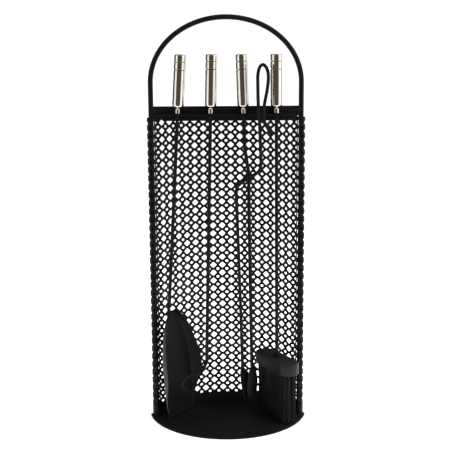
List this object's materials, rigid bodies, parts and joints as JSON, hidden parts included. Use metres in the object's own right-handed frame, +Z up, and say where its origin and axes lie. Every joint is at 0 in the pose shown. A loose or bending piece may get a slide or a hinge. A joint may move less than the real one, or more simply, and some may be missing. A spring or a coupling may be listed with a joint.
{
  "type": "fireplace tool set",
  "caption": "Free-standing fireplace tool stand with a curved perforated screen and carrying arch, holding a shovel, hooked poker, looped tongs and brush.",
  "frame": {"origin": "on the floor, under the centre of the bounding box", "axes": "+Z up along the stand's height, -Y to the open front that faces the user, +X to the user's right"},
  "size_m": [0.255, 0.165, 0.6499],
  "materials": {
    "painted_steel": "black satin powder coat",
    "polished_steel": "finely brushed, nearly polished",
    "block_plastic": "black moulded, satin",
    "bristle": "stiff black bristle tufts"
  },
  "bodies": {
    "stand": {"base_plate": "painted_steel", "perforated_screen": "painted_steel", "carrying_arch": "painted_steel", "hanger_plate": "painted_steel", "hanger_shelf": "painted_steel"},
    "shovel": {"shovel_handle": "polished_steel", "shovel_ring": "polished_steel", "shovel_cap": "polished_steel", "shovel_collar": "painted_steel", "shovel_rod": "painted_steel", "shovel_pan": "painted_steel"},
    "poker": {"poker_handle": "polished_steel", "poker_ring": "polished_steel", "poker_cap": "polished_steel", "poker_collar": "painted_steel", "poker_rod": "painted_steel"},
    "tongs": {"tongs_handle": "polished_steel", "tongs_ring": "polished_steel", "tongs_cap": "polished_steel", "tongs_collar": "painted_steel", "tongs_fixed_arm": "painted_steel", "tongs_fixed_jaw": "painted_steel", "pivot_rivet": "painted_steel", "pivot_washer": "painted_steel"},
    "tongs_arm": {"tongs_loop_arm": "painted_steel", "tongs_loop_jaw": "painted_steel"},
    "brush": {"brush_handle": "polished_steel", "brush_ring": "polished_steel", "brush_cap": "polished_steel", "brush_collar": "painted_steel", "brush_rod": "painted_steel", "brush_nut": "painted_steel", "brush_block": "block_plastic", "brush_bristles": "bristle"}
  },
  "joints": [
    {"name": "shovel_lift_out", "type": "slide", "parent": "stand", "child": "shovel", "axis": [0.0551, -0.429, 0.9016], "range_m": [0, 0.3]},
    {"name": "poker_lift_out", "type": "slide", "parent": "stand", "child": "poker", "axis": [0, -0.4, 0.9165], "range_m": [0, 0.3]},
    {"name": "tongs_lift_out", "type": "slide", "parent": "stand", "child": "tongs", "axis": [0, -0.4, 0.9165], "range_m": [0, 0.3]},
    {"name": "brush_lift_out", "type": "slide", "parent": "stand", "child": "brush", "axis": [0.055, -0.4, 0.9149], "range_m": [0, 0.3]},
    {"name": "tongs_pivot", "type": "hinge", "parent": "tongs", "child": "tongs_arm", "pos_m": [0.03495, 0.0065, 0.39981], "axis": [0, 1, 0], "range_deg": [0, 8]}
  ]
}
